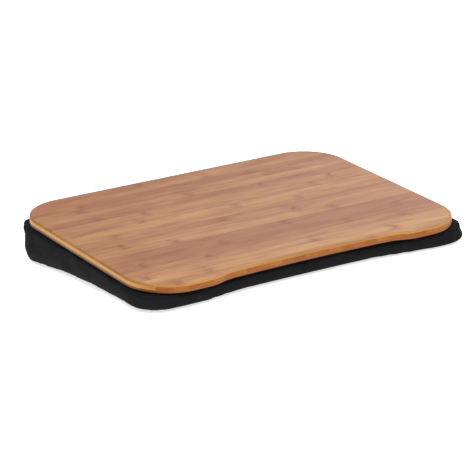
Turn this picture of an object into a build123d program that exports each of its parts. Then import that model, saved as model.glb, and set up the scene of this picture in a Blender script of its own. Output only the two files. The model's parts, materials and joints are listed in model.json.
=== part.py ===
from build123d import *
from math import asin, atan, cos, degrees, radians, sin, tan
import os

# Lap tray with a wedge cushion: a three-ply bamboo board held by hook-and-loop strips
# on a foam wedge in a sewn cover with a zip along its back.
# Frame: origin on the resting surface at the middle of the footprint,
# +X to the user's right, +Y away from the user to the high side, +Z up.

# Overall sizes
tray_width = 510.0
tray_depth = 370.0
back_height = 70.0
front_height = 34.0

# Board, measured in its own sloping plane
board_width = 499.0
board_depth = 370.7
board_corner = 64.0
top_ply = 3.2
core_ply = 4.8
bottom_ply = 3.0
edge_round = 2.8
cross_stave_count = 20
deep_stave_count = 27

# Shallow bay in the board's front edge, for the user's belly
board_bay_crown = 3.1
board_bay_drop = 9.6
board_shoulder = 72.0
board_lobe_flat = 19.0

# Hook-and-loop strips between the board and the cushion
strip_length = 150.0
strip_width = 25.0
strip_thickness = 1.2
strip_gap = 0.2
strip_end_margin = 55.0
strip_side_margin = 62.0

# Cushion
cushion_corner = 44.0
cushion_bay_crown = 1.2
cushion_bay_drop = 13.6
cushion_shoulder = 300.0
cushion_lobe_flat = 8.0
cover_thickness = 1.2
side_draw = 7.0
edge_roll = 21.0
front_setback = 2.5
back_setback = 3.5

# Height of each cushion section, and how much of the edge roll it takes
section_height_shares = (0, 0.03, 0.14, 0.36, 1)
section_roll_shares = (1, 0.64, 0.27, 0, 0)

# Zip in the cushion's back band
zip_height = 34.0
zip_end_margin = 55.0
chain_margin = 20.0
slot_half = 5.2
tape_width = 12.0
tape_thickness = 0.8
tape_seat = 0.8
tape_edge = 1.9

# Moulded zip teeth
tooth_pitch = 3.6
tooth_root = 1.35
tooth_head = 1.62
tooth_reach = 1.1
tooth_shoulder = 0.5
tooth_thickness = 2.4

# Zip slider
slider_length = 12.0
slider_width = 9.0
slider_plate = 1.0
slider_clearance = 0.3
mouth_length = 7.0
divider_width = 2.0
slider_nose = 3.0
bail_length = 7.6
bail_width = 2.0
bail_height = 2.5
bail_thickness = 0.8
stop_length = 2.6
stop_width = 2.2

# Zip pull
pull_length = 24.0
pull_width = 6.0
pull_tip_width = 4.4
pull_tip_round = 1.4
pull_thickness = 1.0
pull_pin = 1.1
pull_arm = 1.3
pull_window = 5.6
pull_grip_length = 9.0
pull_grip_width = 2.6

# Overrun of every cutting block past what it cuts
overrun = 20.0

# Passes that settle the bay's arcs
bay_passes = 40

board_thickness = top_ply + core_ply + bottom_ply
slope = asin((back_height - front_height) / board_depth)
board_lean = board_thickness * sin(slope)
strip_stack = 2 * strip_thickness + strip_gap


def sloping_plane(drop):
    """Plane parallel to the board's top face, a given distance below it."""
    normal = (0, -sin(slope), cos(slope))
    middle = (0, -board_lean / 2, (back_height + front_height) / 2)
    origin = tuple(m - drop * n for m, n in zip(middle, normal))
    return Plane(origin=origin, x_dir=(1, 0, 0), z_dir=normal)


def bay_angles(half_span, crown, drop, shoulder):
    """Half-length of the bay's shallow arc, its end angle and the shoulder's steepest angle."""
    half = half_span / 2
    for _ in range(bay_passes):
        end = 2 * atan(crown / half)
        steep = radians(90) - asin((1 + cos(end) - drop / shoulder) / 2)
        half = half_span - shoulder * (2 * sin(steep) - sin(end))
    return half, end, steep


def polar(centre, radius, angle):
    """Point at an angle counted from +X."""
    return (centre[0] + radius * cos(angle), centre[1] + radius * sin(angle))


def arc(centre, radius, start, end):
    """Arc about a centre between two angles counted from +X."""
    middle = (start + end) / 2
    return ThreePointArc(*(polar(centre, radius, a) for a in (start, middle, end)))


def tray_outline(width, front, back, corner, bay, draw, inset):
    """Plan outline with round corners, a bayed front and drawn-in sides, moved inwards by inset."""
    crown, drop, shoulder, lobe_flat = bay
    quarter = radians(90)
    corner_x = width / 2 - corner
    half, end, steep = bay_angles(corner_x - lobe_flat, crown, drop, shoulder)
    bay_radius = half / sin(end)
    bay_centre = (0, front + crown + drop - bay_radius)
    inner = polar(bay_centre, bay_radius - shoulder, quarter - end)
    outer = polar(inner, 2 * shoulder, quarter - steep)
    front_centre = (corner_x, front + corner)
    back_centre = (corner_x, back - corner)
    half_side = (back - front) / 2 - corner
    bend = 2 * atan(draw / half_side)
    round_radius = corner - inset

    right = [
        arc(inner, shoulder + inset, quarter - end, quarter - steep),
        arc(outer, shoulder - inset, -quarter - steep, -quarter),
        Line((outer[0], front + inset), (corner_x, front + inset)),
        arc(front_centre, round_radius, -quarter, bend),
    ]
    if draw:
        side_radius = half_side / sin(bend) - corner
        side_centre = polar(front_centre, corner + side_radius, bend)
        right.append(arc(side_centre, side_radius + inset, 2 * quarter + bend, 2 * quarter - bend))
    else:
        right.append(Line((width / 2 - inset, front_centre[1]), (width / 2 - inset, back_centre[1])))
    right.append(arc(back_centre, round_radius, -bend, quarter))
    left = [edge.mirror(Plane.YZ) for edge in right]
    edges = [
        arc(bay_centre, bay_radius + inset, quarter + end, quarter - end),
        *right,
        Line((corner_x, back - inset), (-corner_x, back - inset)),
        *left,
    ]
    return Face(Wire.combine(edges)[0])


def block(x_range, y_range, z_range):
    """Axis-aligned block between two values on each axis."""
    size = [high - low for low, high in (x_range, y_range, z_range)]
    centre = [(high + low) / 2 for low, high in (x_range, y_range, z_range)]
    return Pos(*centre) * Box(*size)


def solids_in(shape):
    """Solids of a boolean result, whatever it comes back as."""
    return list(shape.solids())


def group(shapes):
    """Separate solids kept together as one named piece."""
    return Compound(children=[solid for shape in shapes for solid in solids_in(shape)])


parts = {}

# Board: one rounded blank, then cut into plies and staves
board_bay = (board_bay_crown, board_bay_drop, board_shoulder, board_lobe_flat)
board_face = tray_outline(board_width, -board_depth / 2, board_depth / 2, board_corner, board_bay, 0, 0)
blank = extrude(board_face, -board_thickness, dir=(0, 0, 1))
blank = fillet(blank.faces().sort_by(Axis.Z)[-1].edges(), edge_round)
board_plane = sloping_plane(0)


def stave_edges(length, count):
    """Joint lines of equal staves across a length."""
    return [length / 2 - length * i / count for i in range(count + 1)]


def cross_staves(top, thickness):
    """Staves that run left to right, from the back edge to the front."""
    lines = stave_edges(board_depth, cross_stave_count)
    wide = (-board_width / 2 - overrun, board_width / 2 + overrun)
    return [
        board_plane.location * (blank & block(wide, (low, high), (top - thickness, top)))
        for high, low in zip(lines, lines[1:])
    ]


def deep_staves(top, thickness):
    """Staves that run front to back, from the right side to the left."""
    lines = stave_edges(board_width, deep_stave_count)
    deep = (-board_depth / 2 - overrun, board_depth / 2 + overrun)
    return [
        board_plane.location * (blank & block((low, high), deep, (top - thickness, top)))
        for high, low in zip(lines, lines[1:])
    ]


for number, stave in enumerate(cross_staves(0, top_ply), start=1):
    parts[f"top_stave_{number:02d}"] = group([stave])
parts["core_staves"] = group(deep_staves(-top_ply, core_ply))
parts["bottom_staves"] = group(cross_staves(-top_ply - core_ply, bottom_ply))

# Hook strips under the board, loop strips on the cushion
strip_x = board_width / 2 - strip_end_margin - strip_length / 2
strip_y = board_depth / 2 - strip_side_margin - strip_width / 2
strip_places = [(x, y) for y in (strip_y, -strip_y) for x in (-strip_x, strip_x)]
strip_blank = Box(strip_length, strip_width, strip_thickness, align=(Align.CENTER, Align.CENTER, Align.MAX))
hook_plane = sloping_plane(board_thickness)
loop_plane = sloping_plane(board_thickness + strip_thickness + strip_gap)
parts["hook_strips"] = group([hook_plane.location * Pos(x, y, 0) * strip_blank for x, y in strip_places])
parts["loop_strips"] = group([loop_plane.location * Pos(x, y, 0) * strip_blank for x, y in strip_places])

# Cushion: an outer and an inner loft through the same sections, one cover thickness apart
cushion_bay = (cushion_bay_crown, cushion_bay_drop, cushion_shoulder, cushion_lobe_flat)
cushion_front = -tray_depth / 2 + front_setback
cushion_back = tray_depth / 2 - back_setback
cushion_top = sloping_plane(board_thickness + strip_stack)
top_middle = cushion_top.origin.Z + cushion_top.origin.Y * -tan(slope)


def cushion_loft(skin):
    """Crowned wedge, a given skin thickness inside the cover's outer surface."""
    sections = []
    for height, roll in zip(section_height_shares, section_roll_shares):
        lean = atan(height * tan(slope))
        level = skin + height * (top_middle - 2 * skin)
        plane = Plane(origin=(0, 0, level), x_dir=(1, 0, 0), z_dir=(0, -sin(lean), cos(lean)))
        inset = roll * edge_roll + skin
        face = tray_outline(
            tray_width, cushion_front, cushion_back, cushion_corner, cushion_bay, side_draw, inset
        )
        sections.append(plane.location * face)
    return loft(sections, ruled=True)


outer = cushion_loft(0)
inner = cushion_loft(cover_thickness)
shell = outer - inner

# Cover panels: slabs at the top and the bottom, and the wall between them
far = (-tray_width / 2 - overrun, tray_width / 2 + overrun)
deep = (-tray_depth / 2 - overrun, tray_depth / 2 + overrun)
tall = (-overrun, back_height + overrun)
top_slab = cushion_top.location * block(far, deep, (-cover_thickness, overrun))
bottom_slab = block(far, deep, (-overrun, cover_thickness))
parts["cover_top_panel"] = group([shell & top_slab])
parts["cover_bottom_panel"] = group([shell & bottom_slab])
wall = shell - top_slab - bottom_slab

# Bands: the front one takes the front corners, each side one takes a back corner
front_seam = cushion_front + cushion_corner
zip_half = tray_width / 2 - zip_end_margin
zip_middle = block((-zip_half, zip_half), (0, deep[1]), tall)
parts["front_band"] = group([wall & block(far, (deep[0], front_seam), tall)])
rear_wall = wall & block(far, (front_seam, deep[1]), tall)
side_wall = rear_wall - zip_middle
parts["left_band"] = group([side_wall & block((far[0], 0), deep, tall)])
parts["right_band"] = group([side_wall & block((0, far[1]), deep, tall)])
back_wall = rear_wall & zip_middle
slot_bottom = zip_height - slot_half
slot_top = zip_height + slot_half
parts["back_band_lower"] = group([back_wall & block(far, deep, (tall[0], slot_bottom))])
parts["back_band_upper"] = group([back_wall & block(far, deep, (slot_top, tall[1]))])

# Zip tapes, sewn behind the bands, with the chain between their corded edges
tape_front = cushion_back - cover_thickness - tape_seat
tape_back = tape_front - tape_thickness
zip_y = (tape_front + tape_back) / 2
tape_x = (-zip_half, zip_half)
tape_y = (tape_back, tape_front)
parts["zip_tape_upper"] = block(tape_x, tape_y, (zip_height + tape_edge, zip_height + tape_width))
parts["zip_tape_lower"] = block(tape_x, tape_y, (zip_height - tape_width, zip_height - tape_edge))

# Moulded teeth: a tapered shank with a wider head that reaches past the centre line
tooth_count = int(2 * (zip_half - chain_margin) / tooth_pitch)
chain_end = tooth_count * tooth_pitch / 2
tooth_points = [
    (tooth_root / 2, tape_edge),
    (-tooth_root / 2, tape_edge),
    (-tooth_head / 2, -tooth_shoulder),
    (0, -tooth_reach),
    (tooth_head / 2, -tooth_shoulder),
]
tooth_plane = Plane(origin=(0, zip_y, zip_height), x_dir=(1, 0, 0), z_dir=(0, -1, 0))
tooth_profile = tooth_plane.location * make_face(Polyline(*tooth_points, close=True))
upper_tooth = extrude(tooth_profile, tooth_thickness / 2, both=True)
lower_tooth = upper_tooth.mirror(Plane(origin=(0, 0, zip_height), z_dir=(0, 0, 1)))
tooth_lead = tooth_pitch / 4
upper_places = [tooth_lead - chain_end + tooth_pitch * i for i in range(tooth_count)]
lower_places = [place + tooth_pitch / 2 for place in upper_places]
parts["zip_teeth_upper"] = group([Pos(x, 0, 0) * upper_tooth for x in upper_places])
parts["zip_teeth_lower"] = group([Pos(x, 0, 0) * lower_tooth for x in lower_places])

# Slider, closed against the end of the chain: two plates, side flanges, a divider and a bail
channel = tooth_thickness / 2 + slider_clearance
plate_outer = channel + slider_plate
tape_slot = tape_thickness / 2 + slider_clearance
slider_tail = chain_end - mouth_length
slider_head = slider_tail + slider_length
rail = tape_edge + tooth_reach + slider_clearance


def slider_plate_shape(low, high):
    """Slider plate with its corners taken off at the tail, between two depths."""
    half = slider_width / 2
    points = [
        (slider_tail, -half + slider_nose / 2),
        (slider_tail + slider_nose, -half),
        (slider_head, -half),
        (slider_head, half),
        (slider_tail + slider_nose, half),
        (slider_tail, half - slider_nose / 2),
    ]
    plane = Plane(origin=(0, zip_y + low, zip_height), x_dir=(1, 0, 0), z_dir=(0, 1, 0))
    face = plane.location * make_face(Polyline(*points, close=True))
    return extrude(face, high - low, dir=(0, 1, 0))


front_plate = slider_plate_shape(tape_slot, plate_outer)
back_plate = slider_plate_shape(-plate_outer, -tape_slot)
slider_x = (slider_tail - overrun, slider_head + overrun)
teeth_way = block(slider_x, (zip_y - channel, zip_y + channel), (zip_height - rail, zip_height + rail))
divider_face = make_face(
    Polyline(
        (chain_end + slider_clearance + tooth_lead, 0),
        (slider_head - divider_width / 2, divider_width / 2),
        (slider_head, 0),
        (slider_head - divider_width / 2, -divider_width / 2),
        close=True,
    )
)
divider_plane = Plane(origin=(0, zip_y - channel - slider_plate / 2, zip_height), x_dir=(1, 0, 0), z_dir=(0, 1, 0))
divider = extrude(divider_plane.location * divider_face, 2 * channel + slider_plate, dir=(0, 1, 0))
bail_middle = (slider_tail + slider_head) / 2
bail_x = (bail_middle - bail_length / 2, bail_middle + bail_length / 2)
bail_z = (zip_height - bail_width / 2, zip_height + bail_width / 2)
bail_foot = zip_y + plate_outer
bail = block(bail_x, (bail_foot - slider_plate / 2, bail_foot + bail_height), bail_z)
bail_inner_x = (bail_x[0] + bail_thickness, bail_x[1] - bail_thickness)
bail_top_edges = bail.edges().filter_by(Axis.Z).sort_by(Axis.Y)[-2:]
bail = fillet(bail_top_edges, bail_thickness)
bail = bail - block(bail_inner_x, (bail_foot, bail_foot + bail_height - bail_thickness), tall)
slider = (front_plate + back_plate - teeth_way) + divider + bail
parts["zip_slider"] = group([slider])

# Stops: one on each tape past the slider, and one across the chain's far end
stop_y = (zip_y - tooth_thickness / 2, zip_y + tooth_thickness / 2)
top_stop_x = (slider_head + slider_clearance, slider_head + slider_clearance + stop_length)
stop_far = tape_edge
stop_near = tape_edge - stop_width / 2
bottom_stop_x = (-chain_end - stop_length, -chain_end)
parts["zip_stops"] = group(
    [
        block(top_stop_x, stop_y, (zip_height + stop_near, zip_height + stop_far)),
        block(top_stop_x, stop_y, (zip_height - stop_far, zip_height - stop_near)),
        block(bottom_stop_x, stop_y, (zip_height - stop_far, zip_height + stop_far)),
    ]
)

# Pull: a tab with a window at its root, whose end bar runs under the bail
pin_y = bail_foot + (bail_height - bail_thickness) / 2
pull_plane = Plane(origin=(bail_middle, pin_y, zip_height), x_dir=(-1, 0, 0), z_dir=(0, 1, 0))
tab_points = [
    (0, -pull_width / 2),
    (pull_window, -pull_width / 2),
    (pull_length, -pull_tip_width / 2),
    (pull_length, pull_tip_width / 2),
    (pull_window, pull_width / 2),
    (0, pull_width / 2),
]
tab = extrude(make_face(Polyline(*tab_points, close=True)), pull_thickness / 2, both=True)
tab = fillet(tab.edges().filter_by(Axis.Z).sort_by(Axis.X)[-2:], pull_tip_round)
window_half = pull_width / 2 - pull_arm
window = block((-overrun, pull_window), (-window_half, window_half), (-pull_thickness, pull_thickness))
grip_start = pull_length - pull_grip_length - pull_arm
grip = Pos(grip_start + pull_grip_length / 2, 0, 0) * extrude(
    SlotOverall(pull_grip_length, pull_grip_width), pull_thickness, both=True
)
pin = Rot(90, 0, 0) * Cylinder(pull_pin / 2, pull_width)
parts["zip_pull"] = group([pull_plane.location * (tab - window - grip + pin)])

# Foam wedge: the inner loft with a groove for the tapes and the slider's back plate
groove_floor = zip_y - plate_outer - slider_clearance
groove_half = slider_width / 2 + slider_clearance
slider_groove = block(tape_x, (groove_floor, deep[1]), (zip_height - groove_half, zip_height + groove_half))
tape_groove = block(tape_x, (tape_back, deep[1]), (zip_height - tape_width, zip_height + tape_width))
parts["foam_wedge"] = group([inner - slider_groove - tape_groove])

# Files
os.makedirs("parts", exist_ok=True)
for name, shape in parts.items():
    export_step(shape, os.path.join("parts", f"{name}.step"))

print("slope in degrees", round(degrees(slope), 3))
print("pieces", len(parts))
print("slider travel", round(slider_tail + chain_end, 2))
print("pull hinge", round(bail_middle, 3), round(pin_y, 3), zip_height)
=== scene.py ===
import json
from math import atan2, cos, exp, floor, pi, radians, sin
from random import Random
import bpy
import bmesh
from mathutils import Matrix, Vector, noise
from mathutils.bvhtree import BVHTree
from mathutils.kdtree import KDTree


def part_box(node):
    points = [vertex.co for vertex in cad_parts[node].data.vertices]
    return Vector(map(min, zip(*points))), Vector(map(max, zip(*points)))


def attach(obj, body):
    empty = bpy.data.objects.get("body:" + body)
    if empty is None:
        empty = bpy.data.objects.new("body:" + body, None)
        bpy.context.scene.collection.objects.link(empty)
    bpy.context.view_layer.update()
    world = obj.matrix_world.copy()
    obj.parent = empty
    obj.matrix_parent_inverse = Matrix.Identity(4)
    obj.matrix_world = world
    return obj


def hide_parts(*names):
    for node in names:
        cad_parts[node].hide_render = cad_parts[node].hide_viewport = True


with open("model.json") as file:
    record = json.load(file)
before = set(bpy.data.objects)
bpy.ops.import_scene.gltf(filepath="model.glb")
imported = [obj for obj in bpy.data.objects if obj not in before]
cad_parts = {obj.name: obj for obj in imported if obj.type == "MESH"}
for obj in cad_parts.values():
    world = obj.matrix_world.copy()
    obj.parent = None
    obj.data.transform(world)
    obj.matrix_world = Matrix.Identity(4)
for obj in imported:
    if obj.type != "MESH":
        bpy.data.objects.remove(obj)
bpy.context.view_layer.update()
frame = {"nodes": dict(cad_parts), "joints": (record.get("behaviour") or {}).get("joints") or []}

mm = 0.001
weldWithin = 0.005 * mm
softAngle = 180             # a soft piece has no sharp edges
eased = {"interpolation_type": "SMOOTHSTEP"}
nodes = frame["nodes"]
scene = bpy.context.scene

# the board's slope, read off the direction it lifts in
liftAxis = next(Vector(j["axis"]) for j in frame["joints"] if j["name"] == "board_lift")
slope = atan2(-liftAxis.y, liftAxis.z)
toBoard = Matrix.Rotation(-slope, 4, "X")   # object space to the board's own level space
boardUp = Vector((0, -sin(slope), cos(slope)))
levelSpace = {"Rotation": (-slope, 0, 0), "Scale": (1000, 1000, 1000)}  # the same, for mapping nodes in mm
across, along, upright = Vector((1, 0, 0)), Vector((0, 1, 0)), Vector((0, 0, 1))


# camera: the photo's view, fitted to the outline of board and cushion
cameraSetup = {
    "azimuth": -31.21,
    "elevation": 15.61,
    "distance": 3.2419,
    "roll": -3.36,
    "aim": (-0.0239, -0.0227, 0.030),
    "lens": 185.0,
    "farClip": 50,
}


def makeCamera():
    c = cameraSetup
    a, e = radians(c["azimuth"]), radians(c["elevation"])
    back = Vector((sin(a) * cos(e), -cos(a) * cos(e), sin(e)))
    roll = Matrix.Rotation(radians(c["roll"]), 3, "Z").to_quaternion()
    camera = bpy.data.objects.new("camera", bpy.data.cameras.new("camera"))
    camera.data.lens = c["lens"]
    camera.data.clip_end = c["farClip"]
    camera.location = Vector(c["aim"]) + back * c["distance"]
    camera.rotation_mode = "QUATERNION"
    camera.rotation_quaternion = (-back).to_track_quat("-Z", "Y") @ roll
    scene.collection.objects.link(camera)
    scene.camera = camera


# studio: a pale sweep and large soft boxes, as in a product shot
studio = {
    "floorHalf": 6.0,
    "floorShade": "F4F3F1",
    "floorGlow": 0.74,  # the sweep is lit from below as well, like a light table
    "worldShade": "FFFFFF",
    "worldStrength": 0.7,
    "boxes": {
        # name: place, size, power
        "keyBox": ((-0.9, -0.7, 2.4), 1.6, 37.0),
        "fillBox": ((1.6, -1.6, 1.5), 1.8, 12.5),
        "backBox": ((1.9, 1.9, 1.5), 1.5, 10.0),
    },
}


# sRGB hex to linear
def linear(code):
    parts = [int(code[i:i + 2], 16) / 255 for i in (0, 2, 4)]
    return tuple(p / 12.92 if p <= 0.04045 else ((p + 0.055) / 1.055) ** 2.4 for p in parts) + (1.0,)


# one shader node: its kind with any operation, settings by property or socket, links by socket,
# and a ramp's stops
def addNode(tree, kind, settings=None, links=None, stops=()):
    kind, *operation = kind.split()
    node = tree.nodes.new("ShaderNode" + kind)
    if operation:
        node.operation = operation[0]
    for name, value in (settings or {}).items():
        if isinstance(name, str) and hasattr(node, name):
            setattr(node, name, value)
        else:
            node.inputs[name].default_value = value
    for name, source in (links or {}).items():
        tree.links.new(source.outputs[0] if hasattr(source, "outputs") else source, node.inputs[name])
    for i, (place, shade) in enumerate(stops):
        stop = node.color_ramp.elements[i] if i < 2 else node.color_ramp.elements.new(place)
        stop.position = place
        stop.color = linear(shade)
    return node


# a material with an empty tree, and the coordinates in its object's space
def startMaterial(name):
    material = bpy.data.materials.new(name)
    material.use_nodes = True
    tree = material.node_tree
    tree.nodes.clear()
    return material, tree, addNode(tree, "TexCoord").outputs["Object"]


# the shader that a material's tree ends in
def endMaterial(material, settings, links=None):
    shader = addNode(material.node_tree, "BsdfPrincipled", settings, links)
    addNode(material.node_tree, "OutputMaterial", links={"Surface": shader.outputs["BSDF"]})
    return material


# a mesh object from a finished bmesh
def addMesh(name, bm):
    mesh = bpy.data.meshes.new(name)
    bm.to_mesh(mesh)
    bm.free()
    thing = bpy.data.objects.new(name, mesh)
    scene.collection.objects.link(thing)
    return thing


def makeStudio():
    s = studio
    world = bpy.data.worlds.new("studioWorld")
    world.use_nodes = True
    background = world.node_tree.nodes["Background"]
    background.inputs["Color"].default_value = linear(s["worldShade"])
    background.inputs["Strength"].default_value = s["worldStrength"]
    scene.world = world

    sweep = bmesh.new()
    bmesh.ops.create_grid(sweep, x_segments=1, y_segments=1, size=s["floorHalf"])
    ground = addMesh("floor", sweep)
    # sweep paper: matt and nearly white, so that the floor shows no edge and no glare
    white = linear(s["floorShade"])
    ground.data.materials.append(endMaterial(startMaterial("paperSweep")[0], {
        "Base Color": white, "Roughness": 0.9, "Emission Color": white, "Emission Strength": s["floorGlow"]}))

    for name, (place, size, power) in s["boxes"].items():
        light = bpy.data.lights.new(name, "AREA")
        light.shape = "DISK"
        light.size = size
        light.energy = power
        lamp = bpy.data.objects.new(name, light)
        lamp.location = place
        lamp.rotation_euler = (-Vector(place)).to_track_quat("-Z", "Y").to_euler()
        scene.collection.objects.link(lamp)
    scene.view_settings.view_transform = "Standard"


# a piece from a finished bmesh, named after the CAD node that it replaces: smooth but for edges sharper
# than an angle, with its flat faces shaded flat
def finishPiece(bm, node, body, material, sharp):
    first, *words = node.split("_")
    name = first + "".join(word.capitalize() for word in words)
    piece = addMesh(name, bm)
    piece.data.shade_smooth()
    piece.data.set_sharp_from_angle(angle=radians(sharp))
    piece.data.materials.append(material)
    if sharp < softAngle:
        piece.modifiers.new("flatShading", "WEIGHTED_NORMAL").keep_sharp = True
    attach(piece, body)
    if node in nodes:  # stitches have none
        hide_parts(node)
    return piece


# the points, edges or faces among what an operation gives back
def only(kind, made):
    return [part for part in made if isinstance(part, getattr(bmesh.types, kind))]


# a CAD node's mesh is loose triangles: a merged copy, whole again where it is flat within an angle
def mergedCopy(node, flat=1.0):
    bm = bmesh.new()
    bm.from_mesh(nodes[node].data)
    bmesh.ops.remove_doubles(bm, verts=bm.verts, dist=weldWithin)
    bmesh.ops.dissolve_limit(bm, angle_limit=radians(flat), verts=bm.verts, edges=bm.edges)
    return bm


makeCamera()
makeStudio()
print("camera and studio made")

# bamboo: strips of split culm, planed, glued edge to edge, sanded and lacquered. It gives the eye
# staves of different tones with straight fibres, reddish knuckles, and a satin shine
bamboo = {
    # length and width in millimetres and detail of each figure in the grain; the finest is drawn
    # coarser than real fibres, so that it shows
    "figures": {
        "fibre": (70, 0.9, 4),
        "streak": (110, 7.0, 3),
        "cloud": (75, 17, 2),
        "wobble": (40, 5, 1),
        "patch": (9, 2.6, 3),
    },
    "fray": 0.6,
    "seedSpread": (371, 913, 557),  # how far each stave's figures lie from the next one's
    "toneSpread": {"streak": 0.5, "cloud": 0.8, "fibre": 0.4},
    "knuckle": ((14.0, 0.68), (2.2, 0.15)),  # half width and strength, of its smudge and its line
    "knuckleWander": 12.0,
    "knuckleBreaks": (0.35, 0.62),  # patches: where they begin and where they are full
    "knuckleShade": "743A20",
    "glue": (0.45, 0.3),  # half width and strength of the line between staves
    "glueShade": "5E3822",
    "rimAndSideShadeTurn": (0.9, 0.68),  # how level a face is where it begins and where it is full
    "rimAndSideShadeStrength": 0.8,
    "endTurn": (0.35, 0.8),  # how far it faces along the fibres, in the same way
    "endTone": (0.5, 0.1, 0.7),  # share of the vessel dots, base, and share of the stave's tone
    "pith": (50, 0.7),  # length and spacing of the vessel dots
    "glossSpread": (-0.05, 0.08),
    "index": 1.35,
    "bump": 0.02,
    "bumpStrength": 0.25,
}

board = {
    "size": (499.0, 370.7),  # left to right, and front to back
    "crossStaves": 20,  # of the top and bottom plies, running left to right
    "deepStaves": 27,  # of the core, running front to back
    "wallSquare": 0.999,  # a wall between staves faces straight along their row
    "wallNear": 0.02,  # and stands this near a joint, in staves
    # what the random draws give the staves of the core and of the bottom ply
    "seed": 11,
    "coreKnuckles": (60, 320),
    "backKnuckles": (60, 440),
    "knuckleSpacing": (250, 320),
    "backTones": (0.2, 0.8),
    "seedSpan": 3,
    "topSeeds": 7,
}
# each ply's colours: along the fibres from dark to light, on the rounded rim and sides, and on end grain; the
# rim and side colour is partly painted shade
plyShades = {
    "lacqueredBamboo": {
        "face": ((0.0, "7D452B"), (0.35, "955D3B"), (0.6, "A57248"), (1.0, "BD9058")),
        "rim": "B07C38",
        "end": ((0.0, "56300E"), (0.5, "80521C"), (1.0, "9E6E2C")),
        "roughness": 0.46,
    },
    "crossBamboo": {
        "face": ((0.0, "8E5A28"), (0.5, "A9763A"), (1.0, "CC9652")),
        "rim": "B58343",
        # the core's end grain, seen on the front edge: partly the wood's own darker end grain and partly
        # painted shade for that dimly lit side
        "end": ((0.0, "642800"), (0.5, "8C4606"), (1.0, "AE6E1E")),
        "roughness": 0.5,
    },
    "plainBamboo": {
        "face": ((0.0, "74503A"), (0.5, "8E684C"), (1.0, "A88464")),
        # the bottom ply's rim and sides are darker than its face, partly as painted shade low on the board's
        # edge
        "rim": "7A481E",
        # the bottom ply's end grain: partly the wood's own darker end grain and partly painted shade, for the
        # shade low on the board's edge
        "end": ((0.0, "3A1E0A"), (0.5, "543212"), (1.0, "6C4622")),
        "roughness": 0.5,
    },
}
# top staves from the back edge to the front: tone from dark and reddish to light and golden,
# how far a knuckle lies from the board's left end and how far on the next one is
topStaves = [
    (0.42, 190, 290), (0.50, 290, 310), (0.38, 80, 270), (0.40, 370, 300), (0.52, 230, 320),
    (0.36, 335, 260), (0.54, 140, 300), (0.50, 400, 280), (0.64, 260, 330), (0.52, 60, 290),
    (0.44, 215, 300), (0.52, 320, 270), (0.58, 117, 252), (0.34, 280, 310), (0.30, 170, 280),
    (0.32, 37, 318), (0.46, 127, 307), (0.60, 276, 255), (0.70, 100, 290), (0.66, 345, 300),
]
# tones of the core staves from the left side to the right
coreTones = (0.85, 0.25, 0.4, 0.2, 0.35, 0.5, 0.3, 0.45, 0.25, 0.4, 0.55, 0.3, 0.2, 0.45,
             0.35, 0.5, 0.3, 0.4, 0.25, 0.55, 0.4, 0.3, 0.2, 0.45, 0.35, 0.5, 0.6)
# the board's middle in its level space, in millimetres
levelCore = [toBoard @ v.co / mm for v in nodes["core_staves"].data.vertices]
boardMiddle = [(min(p[i] for p in levelCore) + max(p[i] for p in levelCore)) / 2 for i in range(2)]


# a pattern's own space: one unit is its length along the fibres and its width across them
def stretched(tree, place, axis, length, width):
    size = [1 / width] * 3
    size[axis] = 1 / length
    return addNode(tree, "VectorMath MULTIPLY", {1: size}, {0: place})


# how far a count is from its nearest whole number
def fromWhole(tree, count):
    nearest = addNode(tree, "Math ROUND", {}, {0: count})
    rest = addNode(tree, "Math SUBTRACT", {}, {0: count, 1: nearest})
    return addNode(tree, "Math ABSOLUTE", {}, {0: rest})


# knuckles: where the culm's joints were, a soft smudge with a thin line across the stave
def knuckleMask(tree, run, knuckle, spacing, figure):
    wander = bamboo["knuckleWander"]
    wobble = addNode(tree, "Math MULTIPLY_ADD", {1: wander, 2: -wander / 2}, {0: figure["wobble"]})
    offset = addNode(tree, "Math SUBTRACT", {}, {0: run, 1: knuckle})
    wavy = addNode(tree, "Math ADD", {}, {0: offset, 1: wobble})
    turns = addNode(tree, "Math DIVIDE", {}, {0: wavy, 1: spacing})
    distance = addNode(tree, "Math MULTIPLY", {}, {0: fromWhole(tree, turns), 1: spacing})
    smudge, line = (
        addNode(tree, "MapRange", {**eased, "From Max": half, "To Min": strength, "To Max": 0.0},
                {"Value": distance})
        for half, strength in bamboo["knuckle"])
    both = addNode(tree, "Math ADD", {}, {0: smudge, 1: line})
    begins, full = bamboo["knuckleBreaks"]
    broken = addNode(tree, "MapRange", {"From Min": begins, "From Max": full}, {"Value": figure["patch"]})
    return addNode(tree, "Math MULTIPLY", {}, {0: both, 1: broken})


# glue lines between the staves
def glueMask(tree, place, axis, staves):
    half, strength = bamboo["glue"]
    pitch = board["size"][axis] / staves
    shift = staves % 2 / 2 - boardMiddle[axis] / pitch
    count = addNode(tree, "Math MULTIPLY_ADD", {1: 1 / pitch, 2: shift}, {0: place.outputs[axis]})
    return addNode(tree, "MapRange", {"From Max": half / pitch, "To Min": strength, "To Max": 0.0},
                   {"Value": fromWhole(tree, count)})


# rim and sides: rounded over after pressing, so that the rim cuts through the fibres and shows them more
# golden; the colour is also painted shade, for sides lit only dimly from below and the front
def rimAndSideShadeMask(tree, facing):
    begins, full = bamboo["rimAndSideShadeTurn"]
    outward = addNode(tree, "VectorMath DOT_PRODUCT", {1: boardUp}, {0: facing})
    level = addNode(tree, "Math ABSOLUTE", {}, {0: outward.outputs["Value"]})
    return addNode(tree, "MapRange", {**eased, "From Min": begins, "From Max": full,
                   "To Max": bamboo["rimAndSideShadeStrength"]}, {"Value": level})
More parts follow.
